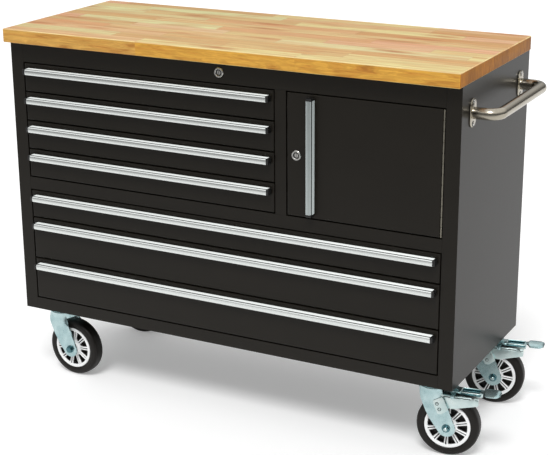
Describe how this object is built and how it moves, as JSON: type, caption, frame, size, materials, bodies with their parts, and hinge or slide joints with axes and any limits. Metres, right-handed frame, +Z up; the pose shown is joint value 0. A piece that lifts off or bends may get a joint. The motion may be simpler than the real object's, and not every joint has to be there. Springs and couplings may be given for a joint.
{
  "type": "tool cart",
  "caption": "Wide rolling tool cart with a wooden worktop, full-width and half-width drawers, a cupboard, a side handle and braked swivel casters.",
  "frame": {"origin": "centre of the bounding box's footprint, on the floor under the wheels", "axes": "+X to the cart's right side, where the side handle is, +Y to the back, +Z up; the drawers open towards -Y"},
  "size_m": [1.2588, 0.466, 0.9133],
  "materials": {
    "worktop_wood": "clear satin lacquer on straw-coloured staves",
    "black_coat": "satin black powder coat",
    "stainless": "brushed stainless steel",
    "slide_steel": "bright zinc-plated slide steel",
    "chrome": "polished nickel",
    "aluminium": "satin anodised aluminium with black end caps",
    "silver_rim": "silver-white moulded rim",
    "rubber_tyre": "matt black rubber",
    "zinc": "pale blue-passivated zinc plate"
  },
  "bodies": {
    "cabinet": {"worktop": "worktop_wood", "side_panel_left": "black_coat", "side_panel_right": "black_coat", "back_panel": "black_coat", "floor_panel": "black_coat", "divider_shelf": "black_coat", "partition": "black_coat", "top_frame": "black_coat", "side_handle_tube": "stainless", "side_handle_flange_front": "stainless", "side_handle_flange_rear": "stainless", "runner_rack_upper_left": "slide_steel", "runner_rack_upper_right": "slide_steel", "runner_rack_lower_left": "slide_steel", "runner_rack_lower_right": "slide_steel", "main_lock_barrel": "chrome", "door_hinge": "stainless", "caster_front_left_plate": "zinc", "caster_front_right_plate": "zinc", "caster_rear_left_plate": "zinc", "caster_rear_right_plate": "zinc"},
    "door": {"door_panel": "black_coat", "door_handle": "aluminium", "door_lock_barrel": "chrome"},
    "door_lock": {"door_lock_plug": "chrome"},
    "main_lock": {"main_lock_plug": "chrome"},
    "drawer_1": {"drawer_1_box": "black_coat", "drawer_1_handle": "aluminium"},
    "drawer_2": {"drawer_2_box": "black_coat", "drawer_2_handle": "aluminium"},
    "drawer_3": {"drawer_3_box": "black_coat", "drawer_3_handle": "aluminium"},
    "drawer_4": {"drawer_4_box": "black_coat", "drawer_4_handle": "aluminium"},
    "drawer_5": {"drawer_5_box": "black_coat", "drawer_5_handle": "aluminium"},
    "drawer_6": {"drawer_6_box": "black_coat", "drawer_6_handle": "aluminium"},
    "drawer_7": {"drawer_7_box": "black_coat", "drawer_7_handle": "aluminium"},
    "caster_front_left_swivel": {"caster_front_left_fork": "zinc", "caster_front_left_axle": "zinc"},
    "caster_front_left_wheel": {"caster_front_left_rim": "silver_rim", "caster_front_left_tyre": "rubber_tyre"},
    "caster_front_right_swivel": {"caster_front_right_fork": "zinc", "caster_front_right_axle": "zinc"},
    "caster_front_right_wheel": {"caster_front_right_rim": "silver_rim", "caster_front_right_tyre": "rubber_tyre"},
    "caster_front_right_pedal": {"caster_front_right_brake_pedal": "zinc"},
    "caster_rear_left_swivel": {"caster_rear_left_fork": "zinc", "caster_rear_left_axle": "zinc"},
    "caster_rear_left_wheel": {"caster_rear_left_rim": "silver_rim", "caster_rear_left_tyre": "rubber_tyre"},
    "caster_rear_right_swivel": {"caster_rear_right_fork": "zinc", "caster_rear_right_axle": "zinc"},
    "caster_rear_right_wheel": {"caster_rear_right_rim": "silver_rim", "caster_rear_right_tyre": "rubber_tyre"},
    "caster_rear_right_pedal": {"caster_rear_right_brake_pedal": "zinc"}
  },
  "joints": [
    {"name": "drawer_1_slide", "type": "slide", "parent": "cabinet", "child": "drawer_1", "axis": [0, -1, 0], "range_m": [0, 0.3]},
    {"name": "drawer_2_slide", "type": "slide", "parent": "cabinet", "child": "drawer_2", "axis": [0, -1, 0], "range_m": [0, 0.3]},
    {"name": "drawer_3_slide", "type": "slide", "parent": "cabinet", "child": "drawer_3", "axis": [0, -1, 0], "range_m": [0, 0.3]},
    {"name": "drawer_4_slide", "type": "slide", "parent": "cabinet", "child": "drawer_4", "axis": [0, -1, 0], "range_m": [0, 0.3]},
    {"name": "drawer_5_slide", "type": "slide", "parent": "cabinet", "child": "drawer_5", "axis": [0, -1, 0], "range_m": [0, 0.3]},
    {"name": "drawer_6_slide", "type": "slide", "parent": "cabinet", "child": "drawer_6", "axis": [0, -1, 0], "range_m": [0, 0.3]},
    {"name": "drawer_7_slide", "type": "slide", "parent": "cabinet", "child": "drawer_7", "axis": [0, -1, 0], "range_m": [0, 0.3]},
    {"name": "door_hinge_turn", "type": "hinge", "parent": "cabinet", "child": "door", "pos_m": [0.50287, -0.2051, 0.54275], "axis": [0, 0, 1], "range_deg": [0, 100]},
    {"name": "door_lock_turn", "type": "hinge", "parent": "door", "child": "door_lock", "pos_m": [0.15377, -0.208, 0.68537], "axis": [0, 1, 0], "range_deg": [0, 90]},
    {"name": "main_lock_turn", "type": "hinge", "parent": "cabinet", "child": "main_lock", "pos_m": [-0.04243, -0.208, 0.8555], "axis": [0, 1, 0], "range_deg": [0, 90]},
    {"name": "caster_front_left_swivel_turn", "type": "hinge", "parent": "cabinet", "child": "caster_front_left_swivel", "pos_m": [-0.55813, -0.145, 0.187], "axis": [0, 0, 1], "continuous": true},
    {"name": "caster_front_left_wheel_spin", "type": "hinge", "parent": "caster_front_left_swivel", "child": "caster_front_left_wheel", "pos_m": [-0.51978, -0.14701, 0.074], "axis": [0.0523, 0.9986, 0], "continuous": true},
    {"name": "caster_front_right_swivel_turn", "type": "hinge", "parent": "cabinet", "child": "caster_front_right_swivel", "pos_m": [0.47327, -0.145, 0.187], "axis": [0, 0, 1], "continuous": true},
    {"name": "caster_front_right_wheel_spin", "type": "hinge", "parent": "caster_front_right_swivel", "child": "caster_front_right_wheel", "pos_m": [0.5113, -0.13966, 0.074], "axis": [-0.1392, 0.9903, 0], "continuous": true},
    {"name": "caster_front_right_pedal_press", "type": "hinge", "parent": "caster_front_right_swivel", "child": "caster_front_right_pedal", "pos_m": [0.52278, -0.13804, 0.1535], "axis": [-0.1392, 0.9903, 0], "range_deg": [0, 8]},
    {"name": "caster_rear_left_swivel_turn", "type": "hinge", "parent": "cabinet", "child": "caster_rear_left_swivel", "pos_m": [-0.55813, 0.17, 0.187], "axis": [0, 0, 1], "continuous": true},
    {"name": "caster_rear_left_wheel_spin", "type": "hinge", "parent": "caster_rear_left_swivel", "child": "caster_rear_left_wheel", "pos_m": [-0.51982, 0.17268, 0.074], "axis": [-0.0698, 0.9976, 0], "continuous": true},
    {"name": "caster_rear_right_swivel_turn", "type": "hinge", "parent": "cabinet", "child": "caster_rear_right_swivel", "pos_m": [0.47327, 0.17, 0.187], "axis": [0, 0, 1], "continuous": true},
    {"name": "caster_rear_right_wheel_spin", "type": "hinge", "parent": "caster_rear_right_swivel", "child": "caster_rear_right_wheel", "pos_m": [0.51109, 0.17667, 0.074], "axis": [-0.1736, 0.9848, 0], "continuous": true},
    {"name": "caster_rear_right_pedal_press", "type": "hinge", "parent": "caster_rear_right_swivel", "child": "caster_rear_right_pedal", "pos_m": [0.52251, 0.17868, 0.1535], "axis": [-0.1736, 0.9848, 0], "range_deg": [0, 8]}
  ]
}
